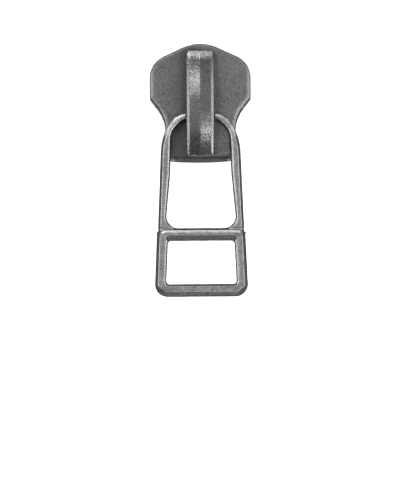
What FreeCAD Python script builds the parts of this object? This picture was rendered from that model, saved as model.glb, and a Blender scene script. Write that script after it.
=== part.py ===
import FreeCAD, Part
import math
import os

import Sketcher

# Automatic-lock zipper slider, gauge 5, with a one-piece loop-and-ring pull tab.
# Frame: X across the slider, +Y towards the front (the two mouths), +Z up through the crown.
# The origin is the middle of the lower blade's underside. The pull lies flat towards -Y at rest.

doc = FreeCAD.newDocument("zipper_slider")
sheet = doc.addObject("Spreadsheet::Sheet", "Params")

# alias, value in millimetres or degrees, meaning
DIMS = [
    # slider body
    ("blade_t", 0.95, "thickness of each blade"),
    ("chan_h", 2.70, "height of the chain channel"),
    ("flange_h", 0.70, "height of each flange"),
    ("flange_t", 0.60, "thickness of each flange"),
    ("body_w", 11.20, "width across the shoulders"),
    ("front_len", 6.48, "origin to the front edge on the centre line"),
    ("rear_len", 6.48, "origin to the lower blade's rear edge on the centre line"),
    ("upper_rear", 6.13, "origin to the upper blade's rear edge on the centre line"),
    ("nose_r", 4.80, "radius of the front nose"),
    ("nose_slope", 25.0, "slope of the front edges, degrees"),
    ("shoulder_r", 2.60, "radius of the front shoulders"),
    ("hip_y", 0.50, "where the side turns inwards"),
    ("hip_r", 0.35, "radius of that turn"),
    ("hip_slope", 38.0, "angle of the side below the turn, degrees from the long axis"),
    ("hip_run", 1.20, "straight length below the turn"),
    ("waist_r", 4.30, "concave radius of the waist"),
    ("tail_slope", 6.0, "taper of the tail, degrees from the long axis"),
    ("tail_r", 0.50, "radius of the tail corners"),
    ("tail_bow", 4.0, "bow of the rear edge, degrees at its ends"),
    ("edge_r", 0.28, "rounding of the blades' outer edges"),
    ("flange_front", 2.85, "front end of the flanges"),
    ("post_w_front", 2.90, "guide post width at the front"),
    ("post_w_mid", 3.10, "guide post width where it starts to taper"),
    ("post_y_mid", 3.60, "where the guide post starts to taper"),
    ("post_tip_y", 0.95, "start of the guide post's tip"),
    ("post_tip_w", 0.72, "guide post width at the start of its tip"),
    ("post_tip_r", 0.395, "tip radius of the guide post"),
    # columns that carry the crown
    ("col_w", 2.20, "width of both columns"),
    ("col_r", 0.20, "corner radius of the columns"),
    ("fcol_y0", 2.08, "front column, rear face"),
    ("fcol_y1", 4.80, "front column, front face"),
    ("fcol_h", 1.75, "front column height above the upper blade"),
    ("fcol_step", 1.45, "height of the front column behind the spring's seat"),
    ("rcol_y0", -5.12, "rear column, rear face"),
    ("rcol_y1", -3.68, "rear column, front face"),
    ("rcol_h", 1.00, "rear column height above the upper blade"),
    ("slot_w", 1.00, "slot for the pawl in the front column"),
    ("seat_r", 0.46, "round seat under the pawl's pivot"),
    ("slot_floor", 0.80, "slot floor above the upper blade"),
    ("hole_w", 1.10, "claw hole width"),
    ("hole_y0", -3.47, "claw hole, rear end"),
    ("hole_y1", -2.17, "claw hole, front end"),
    ("peg_y", 4.30, "spring peg position"),
    ("peg_r", 0.22, "spring peg radius"),
    ("peg_h", 0.12, "spring peg height above the column"),
    ("notch_r", 0.35, "crimp notch radius"),
    ("notch_x", 1.25, "crimp notch centre from the middle"),
    ("notch_fy", 4.25, "crimp notch in the front column"),
    ("notch_ry", -4.42, "crimp notch in the rear column"),
    ("notch_floor", 0.25, "crimp notch floor above the upper blade"),
    # crown
    ("crown_w", 3.13, "crown width"),
    ("crown_h", 2.75, "crown height above the upper blade"),
    ("crown_front", 5.65, "crown front end"),
    ("crown_rear", 6.08, "crown rear end, behind the origin"),
    ("crown_peak_y", 0.30, "highest point of the crown"),
    ("crown_top_r", 20.0, "long radius of the crown's top"),
    ("crown_front_r", 0.45, "front end radius"),
    ("crown_rear_r", 0.80, "rear end radius"),
    ("crown_edge_r", 0.30, "rounding along the crown's sides"),
    ("cav_w", 2.33, "inside width of the crown"),
    ("cav_front", 4.95, "inside front end"),
    ("cav_rear", 5.28, "inside rear end, behind the origin"),
    ("cav_pad_h", 1.93, "height of the pad that clamps the spring"),
    ("cav_pad_y", 3.63, "rear end of that pad"),
    ("cav_top", 2.36, "inside height over the pawl"),
    ("win_front", 1.85, "front end of the side windows"),
    ("win_rear", 2.13, "rear end of the side windows, behind the origin"),
    ("win_h", 1.75, "height of the side windows"),
    ("win_r", 0.30, "corner radius of the side windows"),
    ("crimp_r", 0.30, "crimp mark radius"),
    ("crimp_z", 0.62, "crimp mark height above the upper blade"),
    ("crimp_d", 0.14, "crimp mark depth"),
    # lock pawl
    ("pawl_t", 0.90, "pawl thickness across the slider"),
    ("pivot_y", 3.33, "pawl pivot position"),
    ("pivot_h", 1.25, "pawl pivot height above the upper blade"),
    ("pivot_r", 0.42, "radius of the pawl's round pivot end"),
    ("arm_low", 1.09, "underside of the pawl's arm above the upper blade"),
    ("arm_top", 1.55, "top of the pawl's arm above the upper blade"),
    ("arm_bend_y", -1.20, "where the arm's top starts to fall"),
    ("arm_tail_h", 1.34, "top of the arm over the claw"),
    ("claw_y0", -3.05, "claw, rear face"),
    ("claw_y1", -2.27, "claw, front face"),
    ("claw_reach", 0.60, "claw below the channel's roof"),
    ("claw_tip", 0.30, "width of the claw's tip"),
    # leaf spring
    ("leaf_t", 0.15, "spring strip thickness"),
    ("leaf_w", 1.60, "spring strip width"),
    ("leaf_front", 4.82, "front end of the strip"),
    ("leaf_bend_y", 3.73, "end of the clamped length"),
    ("leaf_touch_y", -0.75, "where the strip presses on the pawl"),
    ("leaf_tip_y", -1.45, "turned-up tip of the strip"),
    ("leaf_tip_rise", 0.08, "rise of that tip"),
    ("leaf_hole_r", 0.27, "hole over the spring peg"),
    # pull tab
    ("pin_y", -1.67, "pintle position"),
    ("pin_h", 0.66, "pintle height above the upper blade"),
    ("pin_r", 0.38, "pintle radius"),
    ("pin_half", 1.62, "half length of the pintle"),
    ("pull_t", 1.10, "thickness of the loop"),
    ("pull_out_r", 0.38, "rounding of the loop's outer edges"),
    ("pull_in_r", 0.27, "rounding of the loop's inner edges"),
    ("arch_head", 5.0, "outer heading at the pintle, degrees"),
    ("arch_r_one", 2.466, "outer arch radius, first part"),
    ("arch_mid", 62.0, "outer heading where the radius changes, degrees"),
    ("arch_r_two", 7.30, "outer arch radius, second part"),
    ("side_out", 87.6, "outer side heading, degrees"),
    ("eye_head", 27.0, "inner heading at the pintle, degrees"),
    ("eye_r_one", 3.945, "inner arch radius, first part"),
    ("eye_mid", 45.0, "inner heading where the radius changes, degrees"),
    ("eye_r_two", 2.12, "inner arch radius, second part"),
    ("side_in", 87.9, "inner side heading, degrees"),
    ("side_knee", 6.03, "where the inner sides start to spread, from the pintle"),
    ("side_low", 84.6, "inner side heading below that, degrees"),
    ("eye_corner_r", 1.33, "corner radius at the foot of the loop's opening"),
    ("eye_foot", 12.38, "foot of the loop's opening, from the pintle"),
    ("gusset", 0.52, "how far the loop's sides run on past the top bar's centre line"),
    ("gusset_in", 0.85, "how far each of those ends reaches inwards"),
    ("ring_top", 13.12, "centre line of the ring's top bar, from the pintle"),
    ("ring_foot", 19.285, "centre line of the ring's foot bar, from the pintle"),
    ("ring_w_top", 8.56, "ring width between centre lines at the top"),
    ("ring_lean", 2.5, "outward lean of the ring's sides, degrees"),
    ("ring_corner_r", 0.92, "corner radius of the ring's centre line"),
    ("ring_bar_r", 0.675, "radius of the ring's round bar"),
]


class Q:
    """A sheet value or a formula of sheet values: its number now, and its text for setExpression."""

    def __init__(self, v, e):
        self.v, self.e = float(v), e

    def __add__(self, o):
        o = q(o)
        return Q(self.v + o.v, "(%s + %s)" % (self.e, o.e))

    def __radd__(self, o):
        return q(o) + self

    def __sub__(self, o):
        o = q(o)
        return Q(self.v - o.v, "(%s - %s)" % (self.e, o.e))

    def __rsub__(self, o):
        return q(o) - self

    def __mul__(self, o):
        o = q(o)
        return Q(self.v * o.v, "%s * %s" % (self.e, o.e))

    def __rmul__(self, o):
        return q(o) * self

    def __truediv__(self, o):
        o = q(o)
        return Q(self.v / o.v, "%s / (%s)" % (self.e, o.e))

    def __neg__(self):
        return Q(-self.v, "(0 - %s)" % self.e)


def q(x):
    if isinstance(x, Q):
        return x
    return Q(x, "%.6f" % x if x >= 0 else "(0 - %.6f)" % -x)


def qsin(a):
    a = q(a)
    return Q(math.sin(math.radians(a.v)), "sin(%s)" % a.e)


def qcos(a):
    a = q(a)
    return Q(math.cos(math.radians(a.v)), "cos(%s)" % a.e)


def qtan(a):
    a = q(a)
    return Q(math.tan(math.radians(a.v)), "tan(%s)" % a.e)


def qsqrt(a):
    return Q(math.sqrt(a.v), "sqrt(%s)" % a.e)


P = {}
for row, (alias, value, meaning) in enumerate(DIMS, start=1):
    sheet.set("A%d" % row, alias)
    sheet.set("B%d" % row, "%.4f" % value)
    sheet.set("C%d" % row, meaning)
    sheet.setAlias("B%d" % row, alias)
    P[alias] = Q(value, "Params.%s" % alias)
doc.recompute()


class Run:
    """A tangent chain of lines and arcs. Headings are in degrees, anticlockwise from the sketch's first axis."""

    def __init__(self, x, y, heading):
        self.x, self.y, self.h = q(x), q(y), q(heading)
        self.points = [(self.x, self.y, None)]

    def _edge(self, kind):
        x, y, _ = self.points[-1]
        self.points[-1] = (x, y, kind)

    def arc(self, r, heading):
        r, b, a = q(r), q(heading), self.h
        turn = 1 if b.v > a.v else -1
        if turn > 0:
            dx, dy = r * (qsin(b) - qsin(a)), r * (qcos(a) - qcos(b))
        else:
            dx, dy = r * (qsin(a) - qsin(b)), r * (qcos(b) - qcos(a))
        self._edge((r, turn))
        self.x, self.y, self.h = self.x + dx, self.y + dy, b
        self.points.append((self.x, self.y, None))
        return self

    def line(self, length):
        self._edge(None)
        self.x = self.x + q(length) * qcos(self.h)
        self.y = self.y + q(length) * qsin(self.h)
        self.points.append((self.x, self.y, None))
        return self

    def line_to(self, x, y):
        self._edge(None)
        self.x, self.y = q(x), q(y)
        self.points.append((self.x, self.y, None))
        return self


def plane_of(body, role):
    return [f for f in body.Origin.OriginFeatures if f.Role == role][0]


def centre_of(x0, y0, x1, y1, r, turn):
    mx, my = (x0 + x1) / 2, (y0 + y1) / 2
    dx, dy = x1 - x0, y1 - y0
    d = math.hypot(dx, dy)
    k = math.sqrt(max(r * r - d * d / 4, 0.0)) / d
    return (mx - dy * k * turn, my + dx * k * turn)


def new_sketch(body, name, role, offset=None):
    sk = body.newObject("Sketcher::SketchObject", name)
    sk.AttachmentSupport = [(plane_of(body, role), "")]
    sk.MapMode = "FlatFace"
    if offset is not None:
        offset = q(offset)
        sk.AttachmentOffset = FreeCAD.Placement(
            FreeCAD.Vector(0, 0, offset.v), FreeCAD.Rotation()
        )
        sk.setExpression("AttachmentOffset.Base.z", offset.e)
    return sk


def fix_point(sk, geo, pos, x, y):
    for kind, val, axis in (("DistanceX", x, -2), ("DistanceY", y, -1)):
        if abs(val.v) < 1e-9:
            sk.addConstraint(Sketcher.Constraint("PointOnObject", geo, pos, axis))
        elif val.v > 0:
            n = sk.addConstraint(Sketcher.Constraint(kind, -1, 1, geo, pos, val.v))
            sk.setExpression("Constraints[%d]" % n, val.e)
        else:
            n = sk.addConstraint(Sketcher.Constraint(kind, geo, pos, -1, 1, -val.v))
            sk.setExpression("Constraints[%d]" % n, "0 - %s" % val.e)


def draw(sk, points):
    """A closed wire. Each point is (x, y, edge to the next point): None for a line, (radius, turn) for an arc."""
    pts = [(q(x), q(y), e) for x, y, e in points]
    n = len(pts)
    ends = []
    for i in range(n):
        x0, y0, e = pts[i]
        x1, y1, _ = pts[(i + 1) % n]
        if e is None:
            g = sk.addGeometry(
                Part.LineSegment(
                    FreeCAD.Vector(x0.v, y0.v, 0), FreeCAD.Vector(x1.v, y1.v, 0)
                ),
                False,
            )
            ends.append((g, 1, 2))
        else:
            r, turn = q(e[0]), e[1]
            cx, cy = centre_of(x0.v, y0.v, x1.v, y1.v, r.v, turn)
            a0 = math.atan2(y0.v - cy, x0.v - cx)
            a1 = math.atan2(y1.v - cy, x1.v - cx)
            if turn < 0:
                a0, a1 = a1, a0
            while a1 < a0:
                a1 += 2 * math.pi
            g = sk.addGeometry(
                Part.ArcOfCircle(
                    Part.Circle(
                        FreeCAD.Vector(cx, cy, 0), FreeCAD.Vector(0, 0, 1), r.v
                    ),
                    a0,
                    a1,
                ),
                False,
            )
            ends.append((g, 1, 2) if turn > 0 else (g, 2, 1))
            k = sk.addConstraint(Sketcher.Constraint("Radius", g, r.v))
            sk.setExpression("Constraints[%d]" % k, r.e)
    for i in range(n):
        g, _, last = ends[i]
        h, first, _ = ends[(i + 1) % n]
        sk.addConstraint(Sketcher.Constraint("Coincident", g, last, h, first))
        fix_point(sk, ends[i][0], ends[i][1], pts[i][0], pts[i][1])


def draw_circle(sk, x, y, r):
    x, y, r = q(x), q(y), q(r)
    g = sk.addGeometry(
        Part.Circle(FreeCAD.Vector(x.v, y.v, 0), FreeCAD.Vector(0, 0, 1), r.v), False
    )
    k = sk.addConstraint(Sketcher.Constraint("Radius", g, r.v))
    sk.setExpression("Constraints[%d]" % k, r.e)
    fix_point(sk, g, 3, x, y)


def mirrored(points):
    """The other half of a wire that runs down the +X side: the same chain backwards on the -X side."""
    out = []
    n = len(points)
    for i in range(n - 1, -1, -1):
        x, y, _ = points[i]
        e = points[i - 1][2] if i > 0 else None
        out.append((-q(x), q(y), (e[0], e[1]) if e else None))
    return out


def new_body(name):
    body = doc.addObject("PartDesign::Body", name)
    body.Label = name
    return body


def pad(body, name, sk, length, midplane=False, reversed_=False):
    f = body.newObject("PartDesign::Pad", name)
    f.Profile = sk
    length = q(length)
    f.Length = length.v
    f.setExpression("Length", length.e)
    f.Midplane = midplane
    f.Reversed = reversed_
    doc.recompute()
    return f


def pocket(body, name, sk, length, midplane=False, reversed_=False):
    before = body.Shape.Volume
    f = body.newObject("PartDesign::Pocket", name)
    f.Profile = sk
    length = q(length)
    f.Length = length.v
    f.setExpression("Length", length.e)
    f.Midplane = midplane
    f.Reversed = reversed_
    doc.recompute()
    if not 0 < body.Shape.Volume < before - 1e-6:
        raise RuntimeError("%s did not cut" % name)
    return f


def fillet(body, name, base, radius, chosen):
    edges = []
    for i, e in enumerate(base.Shape.Edges, start=1):
        if chosen(e):
            edges.append("Edge%d" % i)
    if not edges:
        raise RuntimeError("%s found no edge" % name)
    f = body.newObject("PartDesign::Fillet", name)
    f.Base = (base, edges)
    radius = q(radius)
    f.Radius = radius.v
    f.setExpression("Radius", radius.e)
    doc.recompute()
    return f


def rect(x0, y0, x1, y1, r=None):
    """A rectangle, with rounded corners if r is given."""
    x0, y0, x1, y1 = q(x0), q(y0), q(x1), q(y1)
    if r is None:
        return [(x0, y0, None), (x1, y0, None), (x1, y1, None), (x0, y1, None)]
    r = q(r)
    c = (r, 1)
    return [
        (x0 + r, y0, None),
        (x1 - r, y0, c),
        (x1, y0 + r, None),
        (x1, y1 - r, c),
        (x1 - r, y1, None),
        (x0 + r, y1, c),
        (x0, y1 - r, None),
        (x0, y0 + r, c),
    ]


body_h = P["blade_t"] * 2 + P["chan_h"]  # underside of the lower blade to the top of the upper blade


# ---------------------------------------------------------------- slider body
def blade_outline(rear):
    """Plan of a blade that ends at -rear: the +X side from the nose to the tail, and the ends of its concave arc."""
    half = P["body_w"] / 2
    run = Run(0.0, P["front_len"], 0.0)
    run.arc(P["nose_r"], -P["nose_slope"])
    xb = half - P["shoulder_r"] * (1 - qsin(P["nose_slope"]))
    yb = run.y - (xb - run.x) * qtan(P["nose_slope"])
    run.line_to(xb, yb)
    run.arc(P["shoulder_r"], -90.0)
    t = P["hip_r"] * qtan(P["hip_slope"] / 2)
    run.line_to(half, P["hip_y"] + t)
    run.arc(P["hip_r"], -(P["hip_slope"] + 90.0))
    run.line(P["hip_run"])
    top = (run.x, run.y)
    run.arc(P["waist_r"], -(P["tail_slope"] + 90.0))
    low = (run.x, run.y)
    a = qtan(P["tail_bow"] / 2)
    tt = qtan(P["tail_slope"])
    r5 = P["tail_r"]
    cx = (
        low[0]
        - tt * low[1]
        + tt * (a * r5 * qsin(P["tail_bow"]) + r5 * qcos(P["tail_bow"]) - rear)
        - tt * r5 * qsin(P["tail_slope"])
        - r5 * qcos(P["tail_slope"])
    ) / (1 - tt * a)
    cy = a * cx + a * r5 * qsin(P["tail_bow"]) + r5 * qcos(P["tail_bow"]) - rear
    run.line_to(cx + r5 * qcos(P["tail_slope"]), cy - r5 * qsin(P["tail_slope"]))
    run.arc(r5, -(180.0 - P["tail_bow"]))
    return run, top, low


def closed_outline(rear):
    run, top, low = blade_outline(rear)
    side = run.points[1:]  # from the nose's tangent point to the tail
    tail_bow_r = side[-1][0] / qsin(P["tail_bow"])
    wire = side[:-1] + [(side[-1][0], side[-1][1], (tail_bow_r, -1))]
    left = mirrored(side)
    left[-1] = (left[-1][0], left[-1][1], (P["nose_r"], -1))
    return wire + left, top, low


lower_plan, waist_top, waist_low = closed_outline(P["rear_len"])
upper_plan = closed_outline(P["upper_rear"])[0]
z_half = P["blade_t"] + P["chan_h"] / 2  # half height of the channel

body = new_body("slider_body")
sk = new_sketch(body, "lower_blade_plan", "XY_Plane")
draw(sk, lower_plan)
pad(body, "lower_half", sk, z_half)
# the upper blade stops a little short of the lower one at the rear
sk = new_sketch(body, "upper_blade_plan", "XY_Plane", z_half)
draw(sk, upper_plan)
f = pad(body, "upper_half", sk, z_half)
f = fillet(
    body,
    "blade_edges",
    f,
    P["edge_r"],
    lambda e: e.BoundBox.ZMax - e.BoundBox.ZMin < 1e-6
    and min(abs(e.BoundBox.ZMax), abs(e.BoundBox.ZMax - body_h.v)) < 1e-6,
)

# guide post, left standing by both cuts
post = [
    (-(P["post_w_front"] / 2), P["front_len"] + 1.0, None),
    (P["post_w_front"] / 2, P["front_len"] + 1.0, None),
    (P["post_w_mid"] / 2, P["post_y_mid"], None),
    (P["post_tip_w"] / 2, P["post_tip_y"], (P["post_tip_r"], -1)),
    (-(P["post_tip_w"] / 2), P["post_tip_y"], None),
    (-(P["post_w_mid"] / 2), P["post_y_mid"], None),
]
ft = P["flange_t"]
f_in = (waist_top[0] - ft * qcos(P["hip_slope"]), waist_top[1] + ft * qsin(P["hip_slope"]))
g_in = (waist_low[0] - ft * qcos(P["tail_slope"]), waist_low[1] + ft * qsin(P["tail_slope"]))
x_side = P["body_w"] / 2 - ft
y_corner = f_in[1] + (x_side - f_in[0]) / qtan(P["hip_slope"])
y_out = -(P["rear_len"] + 1.0)
x_out = g_in[0] - (g_in[1] - y_out) * qtan(P["tail_slope"])
wide = P["body_w"] / 2 + 1.0
far = P["front_len"] + 2.0
lane = [
    (wide, far, None),
    (wide, P["flange_front"] + 0.45, None),
    (x_side, P["flange_front"], None),
    (x_side, y_corner, None),
    (f_in[0], f_in[1], (P["waist_r"] + ft, 1)),
    (g_in[0], g_in[1], None),
    (x_out, y_out, None),
]
sk = new_sketch(body, "channel_plan", "XY_Plane", P["blade_t"] + P["chan_h"])
draw(sk, lane + mirrored(lane))
draw(sk, post)
pocket(body, "chain_channel", sk, P["chan_h"])
sk = new_sketch(body, "tape_slot_plan", "XY_Plane", P["blade_t"] + P["chan_h"] - P["flange_h"])
draw(sk, rect(-wide, y_out, wide, far))
draw(sk, post)
pocket(body, "tape_slot", sk, P["chan_h"] - P["flange_h"] * 2)

# columns
cw = P["col_w"] / 2
sk = new_sketch(body, "front_column_plan", "XY_Plane", body_h)
draw(sk, rect(-cw, P["fcol_y0"], cw, P["fcol_y1"], P["col_r"]))
pad(body, "front_column", sk, P["fcol_h"])
sk = new_sketch(body, "rear_column_plan", "XY_Plane", body_h)
draw(sk, rect(-cw, P["rcol_y0"], cw, P["rcol_y1"], P["col_r"]))
pad(body, "rear_column", sk, P["rcol_h"])
# step behind the spring's seat, which leaves the strip free to bend
sk = new_sketch(body, "spring_step_plan", "XY_Plane", body_h + P["fcol_h"] + 0.1)
draw(sk, rect(-(cw + 0.2), P["fcol_y0"] - 0.2, cw + 0.2, P["leaf_bend_y"]))
pocket(body, "spring_step", sk, P["fcol_h"] - P["fcol_step"] + 0.1)
# pawl slot with its round seat, open to the top and the rear
z_piv = body_h + P["pivot_h"]
sr = P["seat_r"]
drop = P["pivot_h"] - P["slot_floor"]
reach = qsqrt(sr * sr - drop * drop)
top = body_h + P["fcol_h"] + 0.5
sk = new_sketch(body, "pawl_slot_profile", "YZ_Plane")
draw(
    sk,
    [
        (P["fcol_y0"] - 0.5, top, None),
        (P["fcol_y0"] - 0.5, body_h + P["slot_floor"], None),
        (P["pivot_y"] - reach, body_h + P["slot_floor"], (sr, 1)),
        (P["pivot_y"] + sr, z_piv, None),
        (P["pivot_y"] + sr, top, None),
    ],
)
pocket(body, "pawl_slot", sk, P["slot_w"], midplane=True)
sk = new_sketch(body, "claw_hole_plan", "XY_Plane", body_h + 0.1)
hw = P["hole_w"] / 2
draw(sk, rect(-hw, P["hole_y0"], hw, P["hole_y1"]))
pocket(body, "claw_hole", sk, P["blade_t"] + 0.2)
sk = new_sketch(body, "peg_plan", "XY_Plane", body_h + P["fcol_h"] - 0.05)
draw_circle(sk, 0.0, P["peg_y"], P["peg_r"])
pad(body, "spring_peg", sk, P["peg_h"] + 0.05)
sk = new_sketch(body, "front_notch_plan", "XY_Plane", body_h + P["fcol_h"] + 0.1)
for s in (1, -1):
    draw_circle(sk, P["notch_x"] * s, P["notch_fy"], P["notch_r"])
pocket(body, "front_notches", sk, P["fcol_h"] + 0.1 - P["notch_floor"])
sk = new_sketch(body, "rear_notch_plan", "XY_Plane", body_h + P["rcol_h"] + 0.1)
for s in (1, -1):
    draw_circle(sk, P["notch_x"] * s, P["notch_ry"], P["notch_r"])
pocket(body, "rear_notches", sk, P["rcol_h"] + 0.1 - P["notch_floor"])


# ---------------------------------------------------------------- crown
def crown_profile():
    """Side view of the crown: a long top arc with a shorter arc at each end."""
    yr, yf = -P["crown_rear"], P["crown_front"]
    rr, rf, rt = P["crown_rear_r"], P["crown_front_r"], P["crown_top_r"]
    zc = body_h + P["crown_h"] - P["crown_top_r"]
    yr_c, yf_c = P["crown_rear_r"] - P["crown_rear"], P["crown_front"] - P["crown_front_r"]
    dr, df = P["crown_peak_y"] - yr_c, yf_c - P["crown_peak_y"]
    lr, lf = P["crown_top_r"] - P["crown_rear_r"], P["crown_top_r"] - P["crown_front_r"]
    cr, cf = qsqrt(lr * lr - dr * dr), qsqrt(lf * lf - df * df)
    zr_c, zf_c = zc + cr, zc + cf
    return [
        (yr, body_h, None),
        (yr, zr_c, (rr, -1)),
        (yr_c - rr * dr / lr, zr_c + rr * cr / lr, (rt, -1)),
        (yf_c + rf * df / lf, zf_c + rf * cf / lf, (rf, -1)),
        (yf, zf_c, None),
        (yf, body_h, None),
    ]


crown = new_body("crown_cover")
half_w = P["crown_w"] / 2
sk = new_sketch(crown, "crown_profile", "YZ_Plane")
draw(sk, crown_profile())
f = pad(crown, "crown_block", sk, P["crown_w"], midplane=True)


def crown_side_edge(e):
    b = e.BoundBox
    return b.XMax - b.XMin < 1e-5 and b.ZMax > body_h.v + 1e-4


fillet(crown, "crown_edges", f, P["crown_edge_r"], crown_side_edge)
zb = body_h
sk = new_sketch(crown, "cavity_profile", "YZ_Plane")
draw(
    sk,
    [
        (-P["cav_rear"], zb - 0.5, None),
        (P["cav_front"], zb - 0.5, None),
        (P["cav_front"], zb + P["cav_pad_h"], None),
        (P["cav_pad_y"], zb + P["cav_pad_h"], None),
        (P["cav_pad_y"] - 0.45, zb + P["cav_top"], None),
        (-1.9, zb + P["cav_top"], None),
        (-3.5, zb + P["cav_top"] - 0.2, None),
        (-4.6, zb + P["cav_top"] - 0.78, None),
        (-P["cav_rear"], zb + P["cav_top"] - 1.3, None),
    ],
)
pocket(crown, "cavity", sk, P["cav_w"], midplane=True)
sk = new_sketch(crown, "window_profile", "YZ_Plane")
wr = P["win_r"]
draw(
    sk,
    [
        (-P["win_rear"], zb - 0.5, None),
        (P["win_front"], zb - 0.5, None),
        (P["win_front"], zb + P["win_h"] - wr, (wr, 1)),
        (P["win_front"] - wr, zb + P["win_h"], None),
        (wr - P["win_rear"], zb + P["win_h"], (wr, 1)),
        (-P["win_rear"], zb + P["win_h"] - wr, None),
    ],
)
pocket(crown, "side_windows", sk, P["crown_w"] + 1.0, midplane=True)
# crimp marks: a dent outside and a boss inside each side wall, at both columns
for side_name, s in (("left", -1), ("right", 1)):
    sk = new_sketch(crown, "crimp_dent_" + side_name, "YZ_Plane", half_w * s)
    for y in (P["notch_fy"], P["notch_ry"]):
        draw_circle(sk, y, zb + P["crimp_z"], P["crimp_r"])
    pocket(crown, "crimp_dents_" + side_name, sk, P["crimp_d"], reversed_=(s < 0))
    sk = new_sketch(crown, "crimp_boss_" + side_name, "YZ_Plane", (P["cav_w"] / 2 + 0.05) * s)
    for y in (P["notch_fy"], P["notch_ry"]):
        draw_circle(sk, y, zb + P["crimp_z"], P["crimp_r"] - 0.04)
    pad(crown, "crimp_bosses_" + side_name, sk, P["crimp_d"] + 0.05, reversed_=(s > 0))

# ---------------------------------------------------------------- lock pawl
pawl = new_body("lock_pawl")
zt = body_h - P["blade_t"] - P["claw_reach"]  # claw tip
pr = P["pivot_r"]
low_in = P["pivot_h"] - P["arm_low"]
up_in = P["arm_top"] - P["pivot_h"]
reach_low = qsqrt(pr * pr - low_in * low_in)
reach_top = qsqrt(pr * pr - up_in * up_in)
sk = new_sketch(pawl, "pawl_profile", "YZ_Plane")
draw(
    sk,
    [
        (P["pivot_y"] - reach_low, body_h + P["arm_low"], (pr, 1)),
        (P["pivot_y"], body_h + P["pivot_h"] - pr, (pr, 1)),
        (P["pivot_y"] + pr, body_h + P["pivot_h"], (pr, 1)),
        (P["pivot_y"], body_h + P["pivot_h"] + pr, (pr, 1)),
        (P["pivot_y"] - reach_top, body_h + P["arm_top"], None),
        (P["arm_bend_y"], body_h + P["arm_top"], None),
        (P["claw_y0"] + 0.2, body_h + P["arm_tail_h"], (q(0.25), 1)),
        (P["claw_y0"], body_h + P["arm_tail_h"] - 0.2, None),
        (P["claw_y0"], body_h - P["blade_t"] - 0.05, None),
        (P["claw_y1"] - 0.1 - P["claw_tip"], zt, None),
        (P["claw_y1"] - 0.1, zt, None),
        (P["claw_y1"], zt + 0.35, None),
        (P["claw_y1"], body_h + P["arm_low"] - 0.2, (q(0.2), -1)),
        (P["claw_y1"] + 0.2, body_h + P["arm_low"], None),
    ],
)
f = pad(pawl, "pawl_blank", sk, P["pawl_t"], midplane=True)

# ---------------------------------------------------------------- leaf spring
leaf = new_body("leaf_spring")
z0 = body_h + P["fcol_h"]
z1 = body_h + P["arm_top"] + 0.03
lt = P["leaf_t"]
sk = new_sketch(leaf, "leaf_profile", "YZ_Plane")
draw(
    sk,
    [
        (P["leaf_front"], z0, None),
        (P["leaf_front"], z0 + lt, None),
        (P["leaf_bend_y"], z0 + lt, None),
        (P["leaf_touch_y"], z1 + lt, None),
        (P["leaf_tip_y"], z1 + lt + P["leaf_tip_rise"], None),
        (P["leaf_tip_y"], z1 + P["leaf_tip_rise"], None),
        (P["leaf_touch_y"], z1, None),
        (P["leaf_bend_y"], z0, None),
    ],
)
pad(leaf, "leaf_strip", sk, P["leaf_w"], midplane=True)
sk = new_sketch(leaf, "leaf_hole_plan", "XY_Plane", z0 + 1.0)
draw_circle(sk, 0.0, P["peg_y"], P["leaf_hole_r"])
pocket(leaf, "leaf_hole", sk, 2.0)

# ---------------------------------------------------------------- pull tab
pull = new_body("pull_tab")
pz = body_h + P["pin_h"]
py = P["pin_y"]


# the plan is drawn as distances down from the pintle, so a heading of +a on paper is -a in the sketch
def chain_down(x, v, heading):
    return Run(x, py - v, -q(heading))


out = chain_down(P["pin_half"], -(P["pin_r"] - 0.02), P["arch_head"])
out.arc(P["arch_r_one"], -P["arch_mid"])
out.arc(P["arch_r_two"], -P["side_out"])
foot_y = py - P["ring_top"]
end_y = foot_y - P["gusset"]
out.line_to(out.x + (out.y - end_y) / qtan(P["side_out"]), end_y)
out.line_to(out.x - P["gusset_in"], end_y)
out.line_to(out.x - P["gusset"], foot_y)
inn = chain_down(P["pin_half"], P["pin_r"] + 0.02, P["eye_head"])
inn.arc(P["eye_r_one"], -P["eye_mid"])
inn.arc(P["eye_r_two"], -P["side_in"])
er = P["eye_corner_r"]
eye_y = py - P["eye_foot"]
y_k = py - P["side_knee"]
inn.line_to(inn.x + (inn.y - y_k) / qtan(P["side_in"]), y_k)
inn.arc(q(12.0), -P["side_low"])
y_k = eye_y + er * (1 + qcos(P["side_low"]))
x_k = inn.x + (inn.y - y_k) / qtan(P["side_low"])
inn.line_to(x_k, y_k)
inn.arc(er, q(-180.0))
o, i_ = out.points, inn.points
# the inner chain: down the -X side (mirrored turns), across the foot, up the +X side
inner_left = []
for x, y, e in i_:
    inner_left.append((-q(x), y, (e[0], -e[1]) if e else None))
inner_right = []
for k in range(len(i_) - 1, -1, -1):
    x, y, _ = i_[k]
    e = i_[k - 1][2] if k > 0 else None
    inner_right.append((x, y, (e[0], -e[1]) if e else None))
outer_right = list(o)
outer_left = []
for k in range(len(o) - 1, -1, -1):
    x, y, _ = o[k]
    e = o[k - 1][2] if k > 0 else None
    outer_left.append((-q(x), y, (e[0], e[1]) if e else None))
horseshoe = outer_right + outer_left + inner_left + inner_right
sk = new_sketch(pull, "loop_plan", "XY_Plane", pz)
draw(sk, horseshoe)
loop = pad(pull, "loop", sk, P["pull_t"], midplane=True)


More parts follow.
